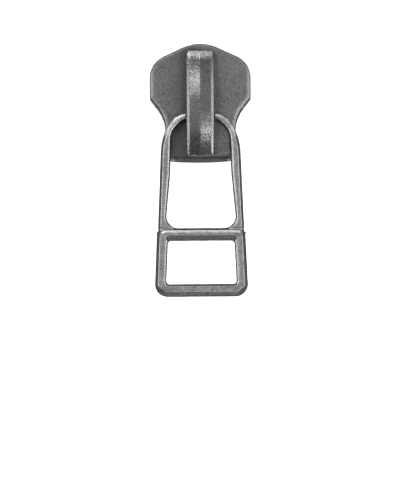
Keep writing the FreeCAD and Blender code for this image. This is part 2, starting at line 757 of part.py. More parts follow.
def edge_picker(*chains):
    """Picks the top and bottom edges of a pad that stand on the given chains of its sketch."""
    pairs = []
    for chain in chains:
        for k in range(len(chain) - 1):
            pairs.append((chain[k][0].v, chain[k][1].v, chain[k + 1][0].v, chain[k + 1][1].v))

    def chosen(e):
        box = e.BoundBox
        if box.ZMax - box.ZMin > 1e-6:
            return False
        m, n = e.Vertexes[0].Point, e.Vertexes[-1].Point
        for x0, y0, x1, y1 in pairs:
            for p, r in ((m, n), (n, m)):
                if math.hypot(p.x - x0, p.y - y0) + math.hypot(r.x - x1, r.y - y1) < 1e-3:
                    return True
        return False

    return chosen


f = fillet(pull, "loop_outer_edges", loop, P["pull_out_r"], edge_picker(outer_right, outer_left))
f = fillet(pull, "loop_inner_edges", f, P["pull_in_r"], edge_picker(inner_left, inner_right))
sk = new_sketch(pull, "pintle_profile", "YZ_Plane")
draw_circle(sk, py, pz, P["pin_r"])
pad(pull, "pintle", sk, P["pin_half"] * 2 + 0.3, midplane=True)

# ring: a round bar swept along a closed, slightly tapered rectangle with round corners
yt, yfoot = py - P["ring_top"], py - P["ring_foot"]
lean = P["ring_lean"]
wt = P["ring_w_top"] / 2
wf = wt + (P["ring_foot"] - P["ring_top"]) * qtan(lean)
rc = P["ring_corner_r"]
ttop = rc * qtan((90.0 - lean) / 2)
tfoot = rc * qtan((90.0 + lean) / 2)
ring = [
    (q(0.0), yt, None),
    (wt - ttop, yt, (rc, -1)),
    (wt + ttop * qsin(lean), yt - ttop * qcos(lean), None),
    (wf - tfoot * qsin(lean), yfoot + tfoot * qcos(lean), (rc, -1)),
    (wf - tfoot, yfoot, None),
]
ring_left = []
for k in range(len(ring) - 1, 0, -1):
    x, y, _ = ring[k]
    e = ring[k - 1][2]
    ring_left.append((-q(x), y, e))
path = new_sketch(pull, "ring_path", "XY_Plane", pz)
draw(path, ring + ring_left)
prof = new_sketch(pull, "ring_section", "YZ_Plane")
draw_circle(prof, yt, pz, P["ring_bar_r"])
doc.recompute()
pipe = pull.newObject("PartDesign::AdditivePipe", "ring")
pipe.Profile = prof
pipe.Spine = path
doc.recompute()

# ---------------------------------------------------------------- checks and files
doc.recompute()
PARTS = [body, crown, pawl, leaf, pull]
for obj in doc.Objects:
    if "Invalid" in obj.State or "Error" in obj.State:
        raise RuntimeError("%s failed: %s" % (obj.Name, obj.State))
os.makedirs("parts", exist_ok=True)
for part in PARTS:
    shape = part.Shape
    if shape.isNull() or not shape.isValid():
        raise RuntimeError("%s has no valid shape" % part.Label)
    if len(shape.Solids) != 1:
        raise RuntimeError("%s has %d solids" % (part.Label, len(shape.Solids)))
    shape.exportStep(os.path.join("parts", part.Label + ".step"))
    b = shape.BoundBox
    print(
        "%-12s volume %.3f mm3  x %.2f..%.2f  y %.2f..%.2f  z %.2f..%.2f"
        % (part.Label, shape.Volume, b.XMin, b.XMax, b.YMin, b.YMax, b.ZMin, b.ZMax)
    )
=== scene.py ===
import math

import bpy
import numpy as np
from mathutils import Matrix, Quaternion, Vector


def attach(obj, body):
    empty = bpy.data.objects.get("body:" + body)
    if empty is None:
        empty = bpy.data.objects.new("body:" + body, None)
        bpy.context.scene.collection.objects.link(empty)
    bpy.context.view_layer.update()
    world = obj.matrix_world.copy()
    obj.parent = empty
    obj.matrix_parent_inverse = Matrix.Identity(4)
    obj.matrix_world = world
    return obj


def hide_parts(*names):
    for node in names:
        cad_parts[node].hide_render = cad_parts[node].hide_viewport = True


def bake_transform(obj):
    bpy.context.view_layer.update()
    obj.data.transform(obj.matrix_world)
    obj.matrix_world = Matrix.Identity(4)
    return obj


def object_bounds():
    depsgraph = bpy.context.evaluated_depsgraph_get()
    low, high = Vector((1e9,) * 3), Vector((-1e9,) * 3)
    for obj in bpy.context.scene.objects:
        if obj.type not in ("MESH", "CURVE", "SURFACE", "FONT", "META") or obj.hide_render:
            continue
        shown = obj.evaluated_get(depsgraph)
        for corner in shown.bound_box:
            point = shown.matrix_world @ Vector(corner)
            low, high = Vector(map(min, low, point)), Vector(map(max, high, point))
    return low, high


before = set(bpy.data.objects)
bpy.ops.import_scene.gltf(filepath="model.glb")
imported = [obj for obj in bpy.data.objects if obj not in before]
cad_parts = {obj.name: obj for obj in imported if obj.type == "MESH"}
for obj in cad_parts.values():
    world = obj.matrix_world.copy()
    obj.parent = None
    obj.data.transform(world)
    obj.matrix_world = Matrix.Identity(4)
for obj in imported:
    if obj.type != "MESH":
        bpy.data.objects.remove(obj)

low0, high0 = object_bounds()
MM = 0.001

# Every cast or stamped piece is described by a signed distance field in millimetres, in the frame's axes,
# and meshed from that field. Fields are negative inside the metal.


# ------------------------------------------------------------------ outlines
class Path:
    """A tangent chain of lines and arcs as a polyline. Headings are in degrees."""

    def __init__(self, x, y, heading):
        self.p, self.h = [(x, y)], math.radians(heading)

    def arc(self, r, heading, step=0.05):
        end = math.radians(heading)
        turn = 1 if end > self.h else -1
        x, y = self.p[-1]
        cx, cy = x - turn * r * math.sin(self.h), y + turn * r * math.cos(self.h)
        n = max(2, int(abs(end - self.h) * r / step))
        for i in range(1, n + 1):
            a = self.h + (end - self.h) * i / n
            self.p.append((cx + turn * r * math.sin(a), cy - turn * r * math.cos(a)))
        self.h = end
        return self

    def line(self, length):
        x, y = self.p[-1]
        self.p.append((x + length * math.cos(self.h), y + length * math.sin(self.h)))
        return self

    def to(self, x, y):
        self.p.append((x, y))
        return self


def mirrored(points):
    return list(points) + [(-x, y) for x, y in reversed(points)]


def rounded(points, radii, step=0.05):
    """A polygon with its corners rounded; radii gives one radius for each corner."""
    out, n = [], len(points)
    for i in range(n):
        p, a, b = np.array(points[i], float), np.array(points[i - 1], float), np.array(points[(i + 1) % n], float)
        r = radii[i]
        if r <= 0:
            out.append(tuple(p))
            continue
        u, v = (a - p) / np.linalg.norm(a - p), (b - p) / np.linalg.norm(b - p)
        half = math.acos(max(-1, min(1, float(u @ v)))) / 2
        t = r / math.tan(half)
        c = p + (u + v) / np.linalg.norm(u + v) * (r / math.sin(half))
        s, e = p + u * t - c, p + v * t - c
        a0, a1 = math.atan2(s[1], s[0]), math.atan2(e[1], e[0])
        d = (a1 - a0 + math.pi) % (2 * math.pi) - math.pi
        k = max(3, int(abs(d) * r / step))
        out += [(c[0] + r * math.cos(a0 + d * j / k), c[1] + r * math.sin(a0 + d * j / k)) for j in range(k + 1)]
    return out


# ------------------------------------------------------------------ fields
def polygon(u, v, points):
    """Signed distance to a closed polygon at every pair of u (first axis) and v (second axis)."""
    uu, vv = np.meshgrid(np.asarray(u).ravel(), np.asarray(v).ravel(), indexing="ij")
    best = np.full(uu.shape, 1e9)
    inside = np.zeros(uu.shape, bool)
    pts = [p for i, p in enumerate(points) if math.hypot(p[0] - points[i - 1][0], p[1] - points[i - 1][1]) > 1e-6]
    for i in range(len(pts)):
        x0, y0 = pts[i - 1]
        x1, y1 = pts[i]
        dx, dy = x1 - x0, y1 - y0
        t = np.clip(((uu - x0) * dx + (vv - y0) * dy) / (dx * dx + dy * dy), 0, 1)
        best = np.minimum(best, (uu - x0 - t * dx) ** 2 + (vv - y0 - t * dy) ** 2)
        if y0 != y1:
            crossed = ((y0 > vv) != (y1 > vv)) & (uu < x0 + (vv - y0) * dx / dy)
            inside ^= crossed
    return np.where(inside, -1.0, 1.0) * np.sqrt(best)


def open_line(u, v, points):
    """Distance to an open polyline."""
    uu, vv = np.meshgrid(np.asarray(u).ravel(), np.asarray(v).ravel(), indexing="ij")
    best = np.full(uu.shape, 1e9)
    for (x0, y0), (x1, y1) in zip(points, points[1:]):
        dx, dy = x1 - x0, y1 - y0
        t = np.clip(((uu - x0) * dx + (vv - y0) * dy) / (dx * dx + dy * dy), 0, 1)
        best = np.minimum(best, (uu - x0 - t * dx) ** 2 + (vv - y0 - t * dy) ** 2)
    return np.sqrt(best)


def prism(flat, along, half, r):
    """A flat shape carried along an axis to +half and -half, with its rims rounded by r."""
    a, b = flat + r, np.abs(along) - half + r
    return np.minimum(np.maximum(a, b), 0) + np.hypot(np.maximum(a, 0), np.maximum(b, 0)) - r


def join(a, b, k):
    h = np.clip(0.5 + 0.5 * (b - a) / k, 0, 1)
    return b * (1 - h) + a * h - k * h * (1 - h)


def cut(a, b, k):
    """a without b, the new rims eased by k."""
    return -join(-a, b, k)


def smax(a, b, k):
    return -join(-a, -b, k)


def step(x, a, b):
    t = np.clip((x - a) / (b - a), 0, 1)
    return t * t * (3 - 2 * t)


def rimmed(a, b, wide, angle, wall, ridge=0.05):
    """A wall (a) and a face (b) with a flat bevel between them, wide in plan and sloping at angle degrees."""
    t = np.radians(angle)
    return smax(smax(a, (a + wide) * np.sin(t) + b * np.cos(t), wall), b, ridge)


def facets(a, b, wide, angle, narrow, steep):
    """Like rimmed, with a second, steeper facet along the very edge."""
    t, u = np.radians(angle), np.radians(steep)
    drop = (wide - narrow) * np.tan(t)
    edge = (a + narrow) * np.sin(u) + (b + drop) * np.cos(u)
    return smax(smax(smax(a, edge, 0.06), (a + wide) * np.sin(t) + b * np.cos(t), 0.05), b, 0.06)


def lattice(lo, hi, h):
    xs, ys, zs = (np.arange(lo[i], hi[i] + h, h) for i in range(3))
    return xs[:, None, None], ys[None, :, None], zs[None, None, :]


def surface(field, axes, h):
    """The zero surface as (vertices, quads): one vertex for each cell the surface passes through."""
    lo = np.array([a.ravel()[0] for a in axes])
    shape = np.array(field.shape)
    cells = shape - 1
    ids, points, quads = [], [], []
    for axis in range(3):
        first = tuple(slice(0, -1) if i == axis else slice(None) for i in range(3))
        second = tuple(slice(1, None) if i == axis else slice(None) for i in range(3))
        fa, fb = field[first], field[second]
        at = np.argwhere((fa < 0) != (fb < 0))
        a, b = fa[tuple(at.T)], fb[tuple(at.T)]
        p = at.astype(float)
        p[:, axis] += a / (a - b)
        u, v = (axis + 1) % 3, (axis + 2) % 3
        ring = []
        for du, dv in ((-1, -1), (0, -1), (0, 0), (-1, 0)):
            c = at.copy()
            c[:, u] += du
            c[:, v] += dv
            c = np.clip(c, 0, cells - 1)
            ring.append((c[:, 0] * cells[1] + c[:, 1]) * cells[2] + c[:, 2])
        ring = np.array(ring).T
        ids.append(ring.ravel())
        points.append(np.repeat(p, 4, axis=0))
        quads.append(np.where((a < 0)[:, None], ring, ring[:, ::-1]))
    ids, points, quads = np.concatenate(ids), np.concatenate(points), np.concatenate(quads)
    cell, inverse = np.unique(ids, return_inverse=True)
    n = np.bincount(inverse)
    verts = np.stack([np.bincount(inverse, points[:, i]) / n for i in range(3)], 1)
    quads = np.searchsorted(cell, quads)
    return lo + verts * h, quads


def sample(field, axes, h, p):
    lo = np.array([a.ravel()[0] for a in axes])
    g = np.clip((p - lo) / h, 0, np.array(field.shape) - 1.001)
    i = g.astype(int)
    f = g - i
    out = 0
    for dx in (0, 1):
        for dy in (0, 1):
            for dz in (0, 1):
                w = (
                    (f[:, 0] if dx else 1 - f[:, 0])
                    * (f[:, 1] if dy else 1 - f[:, 1])
                    * (f[:, 2] if dz else 1 - f[:, 2])
                )
                out = out + w * field[i[:, 0] + dx, i[:, 1] + dy, i[:, 2] + dz]
    return out


def gradient(field, axes, h, p):
    g = np.stack(
        [
            sample(field, axes, h, p + np.eye(3)[i] * h * 0.6) - sample(field, axes, h, p - np.eye(3)[i] * h * 0.6)
            for i in range(3)
        ],
        1,
    )
    return g / np.maximum(np.linalg.norm(g, axis=1, keepdims=True), 1e-9)


class Mesh:
    """Vertices and quads with the neighbour sums that smoothing and curvature need."""

    def __init__(self, verts, quads):
        self.v, self.q = verts, quads
        self.a = np.concatenate([quads[:, i] for i in range(4)])
        self.b = np.concatenate([quads[:, (i + 1) % 4] for i in range(4)])
        self.n = np.bincount(self.a, minlength=len(verts)) + np.bincount(self.b, minlength=len(verts))

    def mean(self, x):
        """Each vertex's neighbours' mean of x."""
        if x.ndim == 1:
            s = np.bincount(self.a, x[self.b], len(self.v)) + np.bincount(self.b, x[self.a], len(self.v))
            return s / self.n
        return np.stack([self.mean(x[:, i]) for i in range(x.shape[1])], 1)

    def normals(self):
        p = self.v[self.q]
        f = np.cross(p[:, 2] - p[:, 0], p[:, 3] - p[:, 1])
        out = np.stack(
            [sum(np.bincount(self.q[:, k], f[:, i], len(self.v)) for k in range(4)) for i in range(3)], 1
        )
        return out / np.maximum(np.linalg.norm(out, axis=1, keepdims=True), 1e-12)


def value_noise(p, wavelength, seed):
    """Smooth noise between -1 and 1 at points p."""
    rng = np.random.default_rng(seed)
    size = 64
    table = rng.uniform(-1, 1, (size, size, size)).astype(np.float32)
    g = p / wavelength
    i = np.floor(g).astype(int)
    f = g - i
    f = f * f * f * (f * (f * 6 - 15) + 10)
    out = 0
    for dx in (0, 1):
        for dy in (0, 1):
            for dz in (0, 1):
                w = (
                    (f[:, 0] if dx else 1 - f[:, 0])
                    * (f[:, 1] if dy else 1 - f[:, 1])
                    * (f[:, 2] if dz else 1 - f[:, 2])
                )
                out = out + w * table[(i[:, 0] + dx) % size, (i[:, 1] + dy) % size, (i[:, 2] + dz) % size]
    return out


def build(name, field, axes, h, body, node, grain=0.0, lump=0.0, seed=1, blend=None, extra_shade=None):
    """Meshes a field, settles the mesh on it, adds the casting's unevenness and stores wear values and the amount of
    painted shade (ambient occlusion plus any extra shade).
    """
    verts, quads = surface(field, axes, h)
    m = Mesh(verts, quads)
    for _ in range(3):
        m.v = m.v + 0.6 * (m.mean(m.v) - m.v)
        for _ in range(2):
            g = gradient(field, axes, h, m.v)
            m.v = m.v - g * sample(field, axes, h, m.v)[:, None]
    n = m.normals()
    # wear: how convex the surface is over about a tenth of a millimetre
    bend = -np.einsum("ij,ij->i", m.mean(m.v) - m.v, n) / (h * h)
    for _ in range(3):
        bend = 0.5 * bend + 0.5 * m.mean(bend)
    # painted shade: how much metal stands over the surface nearby, stored for the materials to darken the colour by
    shut = np.zeros(len(m.v))
    for d, w in ((0.15, 0.3), (0.35, 0.4), (0.8, 0.3)):
        shut += w * np.clip(1 - sample(field, axes, h, m.v + n * d) / d, 0, 1)
    # extra painted shade given by the caller is added on top
    if extra_shade:
        shut += extra_shade(m.v)
    if lump:
        m.v = m.v + n * (lump * value_noise(m.v, 1.1, seed) + 0.5 * lump * value_noise(m.v, 0.45, seed + 1))[:, None]
    if grain:
        m.v = m.v + n * (grain * value_noise(m.v, max(0.16, 2.5 * h), seed + 2))[:, None]
    data = bpy.data.meshes.new(name)
    data.vertices.add(len(m.v))
    data.vertices.foreach_set("co", (m.v * MM).astype(np.float32).ravel())
    data.loops.add(m.q.size)
    data.loops.foreach_set("vertex_index", m.q.astype(np.int32).ravel())
    data.polygons.add(len(m.q))
    data.polygons.foreach_set("loop_start", np.arange(0, m.q.size, 4, dtype=np.int32))
    data.polygons.foreach_set("use_smooth", np.ones(len(m.q), bool))
    data.update(calc_edges=True)
    data.validate()
    for key, values in (("wear", np.clip(bend, -4, 4)), ("painted_shade_amount", shut)):
        layer = data.attributes.new(key, "FLOAT", "POINT")
        layer.data.foreach_set("value", values.astype(np.float32))
    o = bpy.data.objects.new(name, data)
    bpy.context.scene.collection.objects.link(o)
    if blend:
        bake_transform(o)
    else:
        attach(o, body)
    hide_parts(node)
    return o


# ------------------------------------------------------------------ shared dimensions, in mm
TOP = 4.60  # top face of the upper blade
ZL, ZU = 0.95, 3.65  # channel floor and roof
PIN_Y, PIN_Z = -1.67, TOP + 0.66  # pintle axis


# ------------------------------------------------------------------ slider body
HIP, TAIL = math.radians(38.0), math.radians(6.0)  # slopes of the side below the shoulders, off the long axis


def blade_outline(rear):
    """Plan of a blade that ends at -rear, with the ends of its concave waist."""
    half, sl = 5.60, math.radians(25.0)
    p = Path(0.0, 6.48, 0.0).arc(4.8, -25.0)
    x, y = p.p[-1]
    xb = half - 2.6 * (1 - math.sin(sl))
    p.to(xb, y - (xb - x) * math.tan(sl)).arc(2.6, -90)
    p.to(half, 0.50 + 0.30 * math.tan(HIP / 2))
    p.arc(0.30, -128.0).line(1.20)
    top = p.p[-1]
    p.arc(4.3, -96.0)
    low = p.p[-1]
    tt, bow, r = math.tan(TAIL), math.radians(4.0), 0.5
    a = math.tan(bow / 2)
    cx = (
        low[0]
        - tt * low[1]
        + tt * (a * r * math.sin(bow) + r * math.cos(bow) - rear)
        - tt * r * math.sin(TAIL)
        - r * math.cos(TAIL)
    ) / (1 - tt * a)
    cy = a * cx + a * r * math.sin(bow) + r * math.cos(bow) - rear
    p.to(cx + r * math.cos(TAIL), cy - r * math.sin(TAIL)).arc(r, -176.0)
    x, y = p.p[-1]
    big = x / math.sin(bow)
    for i in range(1, 20):
        ang = bow * (1 - i / 20)
        p.to(big * math.sin(ang), y + big * math.cos(bow) - big * math.cos(ang))
    return mirrored(p.p), top, low


lower_plan, waist_top, waist_low = blade_outline(6.48)
upper_plan = blade_outline(6.13)[0]


def slider_body():
    h = 0.06
    X, Y, Z = lattice((-5.85, -6.55, -0.2), (5.85, 6.55, 6.75), h)
    # the upper blade stops a little short of the lower one at the rear
    rim = 0.42 - 0.17 * step(Y, 2.6, 4.4) - 0.27 * (1 - step(Y, -5.6, -5.0))
    face = np.abs(Z - TOP / 2) - TOP / 2
    d = np.where(
        Z < TOP / 2,
        rimmed(polygon(X, Y, lower_plan)[:, :, None], face, rim, 23, 0.13, 0.07),
        rimmed(polygon(X, Y, upper_plan)[:, :, None], face, rim, 23, 0.13, 0.07),
    )
    # channel with its flanges, the tape slot between them, and the guide post left standing
    ft = 0.60
    a, b = HIP, TAIL
    f = (waist_top[0] - ft * math.cos(a), waist_top[1] + ft * math.sin(a))
    g = (waist_low[0] - ft * math.cos(b), waist_low[1] + ft * math.sin(b))
    xs = 5.60 - ft
    lane = Path(7.0, 8.5, 0).to(7.0, 3.3).to(xs, 2.85)
    lane.to(xs, f[1] + (xs - f[0]) / math.tan(a)).to(*f)
    lane.h = -math.pi / 2 - a
    lane.arc(4.3 + ft, -96.0).to(g[0] - (g[1] + 7.5) * math.tan(b), -7.5)
    lane2 = polygon(X, Y, mirrored(lane.p))[:, :, None]
    post = Path(1.45, 8.0, -90).to(1.55, 3.60).to(0.36, 0.95)
    tip = [(0.395 * math.cos(t), 0.95 - 0.395 * math.sin(t)) for t in np.linspace(0.42, math.pi / 2, 8)]
    post2 = polygon(X, Y, mirrored(post.p[:-1] + tip))[:, :, None]
    channel = prism(lane2, Z - (ZL + ZU) / 2, (ZU - ZL) / 2, 0.12)
    slot = np.abs(Z - (ZL + ZU) / 2) - 0.65
    hollow = join(channel, slot + 0 * channel, 0.10)
    hollow = cut(hollow, post2, 0.14)
    d = cut(d, hollow, 0.10)
    # burnished bevel along the rear edge of the channel floor
    ledge = (-Y - 6.22) * math.sin(math.radians(22)) + (Z - ZL) * math.cos(math.radians(22))
    ledge = ledge - 20 * step(lane2 + 0 * Z, -0.12, 0.0) - 20 * step(Z + 0 * lane2, 1.9, 2.1)
    d = smax(d, ledge, 0.03)
    # columns under the crown
    fc = polygon(X, Y, rounded([(-1.1, 2.08), (1.1, 2.08), (1.1, 4.8), (-1.1, 4.8)], [0.2] * 4))[:, :, None]
    fcol = np.maximum(prism(fc, Z - (TOP + 0.6), 1.15, 0.05), TOP - 1 - Z)
    fcol = np.maximum(fcol, -np.maximum(Y - 3.73, -(Z - TOP - 1.45)) + 0 * fcol)
    rc = polygon(X, Y, rounded([(-1.1, -5.12), (1.1, -5.12), (1.1, -3.68), (-1.1, -3.68)], [0.2] * 4))[:, :, None]
    rcol = np.maximum(prism(rc, Z - (TOP + 0.3), 0.70, 0.05), TOP - 1 - Z)
    d = join(join(d, fcol, 0.05), rcol, 0.05)
    # slot with the pawl's round seat, claw hole, spring peg and crimp notches
    seat = np.hypot(Y - 3.33, Z - TOP - 1.25) - 0.46
    lift = np.maximum(np.abs(Y - 2.43) - 1.36, TOP + 1.25 - Z)
    run = np.maximum(np.maximum(Y - 3.33, 1.53 - Y), TOP + 0.80 - Z)
    mouth = np.minimum(np.minimum(seat, lift), run)
    d = cut(d, np.maximum(mouth, np.abs(X) - 0.50), 0.04)
    hole = np.maximum(np.maximum(np.abs(X) - 0.55, np.abs(Y + 2.82) - 0.65), np.abs(Z - 4.2) - 0.75)
    d = cut(d, hole, 0.06)
    peg = np.maximum(np.hypot(X, Y - 4.30) - 0.22, np.abs(Z - (TOP + 1.7)) - 0.17)
    d = np.minimum(d, peg)
    for y in (4.25, -4.42):
        notch = np.maximum(np.hypot(np.abs(X) - 1.25, Y - y) - 0.35, TOP + 0.25 - Z)
        d = cut(d, notch, 0.04)

    def painted_shade_on_blade(p):
        """Painted shade on the top of the upper blade: darker beside the crown, and over its left half, most of all
        at the rear inside the pull's loop.
        """
        beside = np.maximum(np.abs(p[:, 0]) - 1.565, np.abs(p[:, 1] + 0.2) - 5.87)
        dark = 0.48 * np.exp(-np.maximum(beside, 0) / 0.55)
        dark += 0.95 * (1 - step(p[:, 0], -1.0, 1.0)) * (1 - step(p[:, 1], -3.0, -1.8))
        dark += 0.58 * (1 - step(p[:, 0], -1.0, 1.0)) * step(p[:, 1], -3.0, -1.8)
        return np.where(p[:, 2] > TOP - 0.05, dark, 0.0)

    return build("die_cast_body", d, (X, Y, Z), h, "slider", "slider_body",
                 grain=0.004, lump=0.007, seed=11, extra_shade=painted_shade_on_blade)


# ------------------------------------------------------------------ crown
def crown_cover():
    h = 0.045
    X, Y, Z = lattice((-1.85, -6.55, TOP - 0.2), (1.85, 5.95, TOP + 3.0), h)
    ax = np.abs(X)
    # plan with rounded corners, the rear end bowed out to a low nib where the die halves met
    tail = [(1.565 * t, -6.08 - 0.16 * (1 - abs(t)) ** 1.3) for t in np.linspace(0.72, -0.72, 17)]
    plan = polygon(X, Y, rounded([(-1.565, -6.06), (-1.565, 5.65), (1.565, 5.65), (1.565, -6.06)] + tail,
                                 [0.34, 0.30, 0.30, 0.34] + [0] * 17))[:, :, None]
    # a long low arch, each half of it falling away from the parting line, with a fine flash line between
    roof = TOP + 2.75 - (20.0 - np.sqrt(400.0 - (Y - 0.30) ** 2)) - 0.13 * np.minimum(ax / 1.3, 1.2)
    roof = roof + 0.011 * np.exp(-((X / 0.05) ** 2))
    # the front end rolls down on a tighter curve
    roll = np.clip(Y - 4.45, 0, 1.3)
    roof = roof - (7.0 - np.sqrt(49.0 - roll ** 2))
    at_end = step((np.abs(Y + 0.215) - 5.865) - (ax - 1.565), -0.15, 0.15)
    at_front = at_end * (Y > 0)
    wide = 0.31 - 0.17 * at_end
    d = rimmed(plan, Z - roof, wide, 25 - 15 * at_end - 7 * at_front - 10 * step(Y, 3.9, 5.2) * (1 - at_end), 0.09, 0.06)
    d = np.maximum(d, TOP - Z)
    cavity = [
        (-5.28, TOP - 0.6), (4.95, TOP - 0.6), (4.95, TOP + 1.93), (3.63, TOP + 1.93), (3.18, TOP + 2.36),
        (-1.9, TOP + 2.36), (-3.5, TOP + 2.16), (-4.6, TOP + 1.58), (-5.28, TOP + 1.06),
    ]
    inner = np.maximum(polygon(Y, Z, cavity)[None, :, :], ax - 1.165)
    d = cut(d, inner, 0.06)
    opening = rounded([(-2.13, TOP - 0.6), (1.85, TOP - 0.6), (1.85, TOP + 1.75), (-2.13, TOP + 1.75)], [0, 0, 0.3, 0.3])
    window = np.maximum(polygon(Y, Z, opening)[None, :, :], ax - 3.0)
    d = cut(d, window, 0.10)
    for y in (4.25, -4.42):
        dent = np.sqrt((ax - 1.80) ** 2 + (Y - y) ** 2 + (Z - TOP - 0.62) ** 2) - 0.39
        d = cut(d, dent, 0.06)
        boss = np.maximum(np.hypot(Y - y, Z - TOP - 0.62) - 0.26, np.abs(ax - 1.12) - 0.095)
        d = join(d, boss, 0.03)
    return build("crown", d, (X, Y, Z), h, "slider", "crown_cover",
                 grain=0.003, lump=0.006, seed=23)


# ------------------------------------------------------------------ lock pawl and leaf spring
def lock_pawl():
    h = 0.035
    X, Y, Z = lattice((-0.6, -3.25, 2.95), (0.6, 3.90, TOP + 1.85), h)
    py, pz, r = 3.33, TOP + 1.25, 0.42
    lo, up = TOP + 1.09, TOP + 1.55
    pts = []
    a0 = -math.pi + math.asin((pz - lo) / r)
    a1 = math.pi - math.asin((up - pz) / r)
    for i in range(41):
        a = a0 + (a1 - a0) * i / 40
        pts.append((py + r * math.cos(a), pz + r * math.sin(a)))
    zt = ZU - 0.60
    pts += [(-1.2, up)]
    pts += rounded([(-1.2, up), (-3.05, TOP + 1.32), (-3.05, 3.0)], [0, 0.25, 0])[1:-1]
    pts += [(-3.05, ZU - 0.05), (-2.67, zt), (-2.37, zt), (-2.27, zt + 0.35)]
    pts += rounded([(-2.27, 3.0), (-2.27, lo), (3.33, lo)], [0, 0.2, 0])[1:-1]
    flat = polygon(Y, Z, pts)[None, :, :]
    d = prism(flat, X, 0.45, 0.05)
    return build("stamped_pawl", d, (X, Y, Z), h, "pawl", "lock_pawl", grain=0.001, lump=0.001, seed=31)


def leaf_spring():
    h = 0.03
    X, Y, Z = lattice((-0.95, -1.7, TOP + 1.45), (0.95, 5.05, TOP + 2.05), h)
    z0, z1 = TOP + 1.75 + 0.075, TOP + 1.58 + 0.075
    path = [(4.76, z0), (3.83, z0), (3.73, z0 - 0.004), (3.63, z0 - 0.010), (-0.55, z1 + 0.006), (-0.75, z1 + 0.004),
            (-0.95, z1 + 0.02), (-1.40, z1 + 0.08)]
    flat = open_line(Y, Z, path)[None, :, :] - 0.075
    d = prism(flat, X, 0.80, 0.04)
    hole = np.hypot(X, Y - 4.30) - 0.27
    d = cut(d, hole + 0 * d, 0.03)
    return build("spring_strip", d, (X, Y, Z), h, "slider", "leaf_spring", seed=37,
                 blend=("slider", "pawl", (0, 0.00373, 0.0064), (0, -0.0016, 0.0062)))


# ------------------------------------------------------------------ pull tab
def pull_tab():
    h = 0.05
    X, Y, Z = lattice((-5.50, -22.0, PIN_Z - 0.85), (5.50, -1.0, PIN_Z + 0.85), h)
    zz = Z - PIN_Z
    foot = PIN_Y - 13.12
    out = Path(1.62, PIN_Y + 0.36, -5.0).arc(2.466, -62).arc(7.30, -87.6)
    x, y = out.p[-1]
    end = foot - 0.45
    out.to(x + (y - end) / math.tan(math.radians(87.6)), end)
    eye = Path(1.62, PIN_Y - 0.40, -27.0).arc(3.945, -45).arc(2.12, -87.9)
    x, y = eye.p[-1]
    knee = PIN_Y - 6.03
    eye.to(x + (y - knee) / math.tan(math.radians(87.9)), knee).arc(12.0, -84.6)
    x, y = eye.p[-1]
    er = 1.33
    ky = PIN_Y - 12.38 + er * (1 + math.cos(math.radians(84.6)))
    eye.to(x + (y - ky) / math.tan(math.radians(84.6)), ky).arc(er, -180)
    outer = polygon(X, Y, mirrored(out.p))[:, :, None]
    inner = polygon(X, Y, mirrored(eye.p))[:, :, None]
    # steep bevel outside, narrow shallow bevel inside
    az = np.abs(zz)
    arch = step(Y, -5.2, -2.6)
    level = 0.55 - 0.15 * step(foot + 0.84 - Y, 0.0, 0.16)
    loop = rimmed(outer, az - level, 0.28 + 0.14 * arch, 55 - 34 * arch, 0.12, 0.07)
    loop = smax(loop, facets(-inner, az - level, 0.30, 25, 0.14, 64), 0.02)
    gap = np.maximum(np.abs(X) - 1.59, np.abs(Y - PIN_Y) - 0.9)
    loop = cut(loop, gap + 0 * loop, 0.015)
    pintle = np.maximum(np.hypot(Y - PIN_Y, zz) - 0.38, np.abs(X) - 2.0)
    loop = join(loop, pintle + 0 * loop, 0.16)
    # ring
    lean = math.tan(math.radians(2.5))
    wide, tall, thick = 0.635, 0.71, 0.665  # half widths of the side bars and the cross bars, half thickness
    low_bar = PIN_Y - 19.285

    def frame_of(side, top_r, low_r):
        yt, yf = foot + tall * side, low_bar - tall * side
        xt = 4.28 + (foot - yt) * lean + wide * side
        xf = 4.28 + (foot - yf) * lean + wide * side
        return rounded([(-xt, yt), (-xf, yf), (xf, yf), (xt, yt)], [top_r, low_r, low_r, top_r])

    ring_out = polygon(X, Y, frame_of(1, 1.0, 1.40))[:, :, None]
    ring_in = polygon(X, Y, frame_of(-1, 0.36, 0.36))[:, :, None]
    # the bars' inner bevels differ: shallow on the side bars, steeper on the cross bars
    edge = np.abs(X) - (4.28 + (foot - Y) * lean - wide)
    above, below = Y - (foot - tall), (low_bar + tall) - Y
    on_side = step(edge - np.maximum(above, below), -0.12, 0.12)
    on_top = step(Y - (foot + low_bar) / 2, -0.3, 0.3)
    in_wide = on_side * 0.36 + (1 - on_side) * (on_top * 0.70 + (1 - on_top) * 0.24)
    in_tilt = on_side * 15 + (1 - on_side) * (on_top * 42 + (1 - on_top) * 60)
    in_edge = 0.14 - 0.11 * (1 - on_side) * on_top
    # outside: steep all round, but the top bar rolls over gently towards the loop
    front = step(Y - foot, 0.0, 0.25)
    at_foot = step(low_bar + 0.5 - Y, 0.0, 0.5)
    out_wide = (0.36 + 0.24 * at_foot) * (1 - front) + 0.52 * front
    out_tilt = (52 - 12 * at_foot) * (1 - front) + 23 * front
    ring = facets(ring_out, az - thick, out_wide, out_tilt, 0.17 * front, 66)
    ring = smax(ring, facets(-ring_in, az - thick, in_wide, in_tilt, in_edge, 66), 0.02)
    d = join(loop, ring, 0.08)
    # flash nubs where the die halves of loop and ring met
    nub = np.sqrt((np.abs(X) - 4.83) ** 2 + (Y - (PIN_Y - 12.95)) ** 2 + zz ** 2) - 0.15
    d = join(d, nub, 0.10)
    # parting line round the outside, half way up
    seam = np.exp(-((zz / 0.05) ** 2)) * 0.012
    d = d - seam * (np.minimum(outer, ring_out) > -0.2)
    return build("cast_pull", d, (X, Y, Z), h, "pull", "pull_tab",
                 grain=0.004, lump=0.008, seed=47)


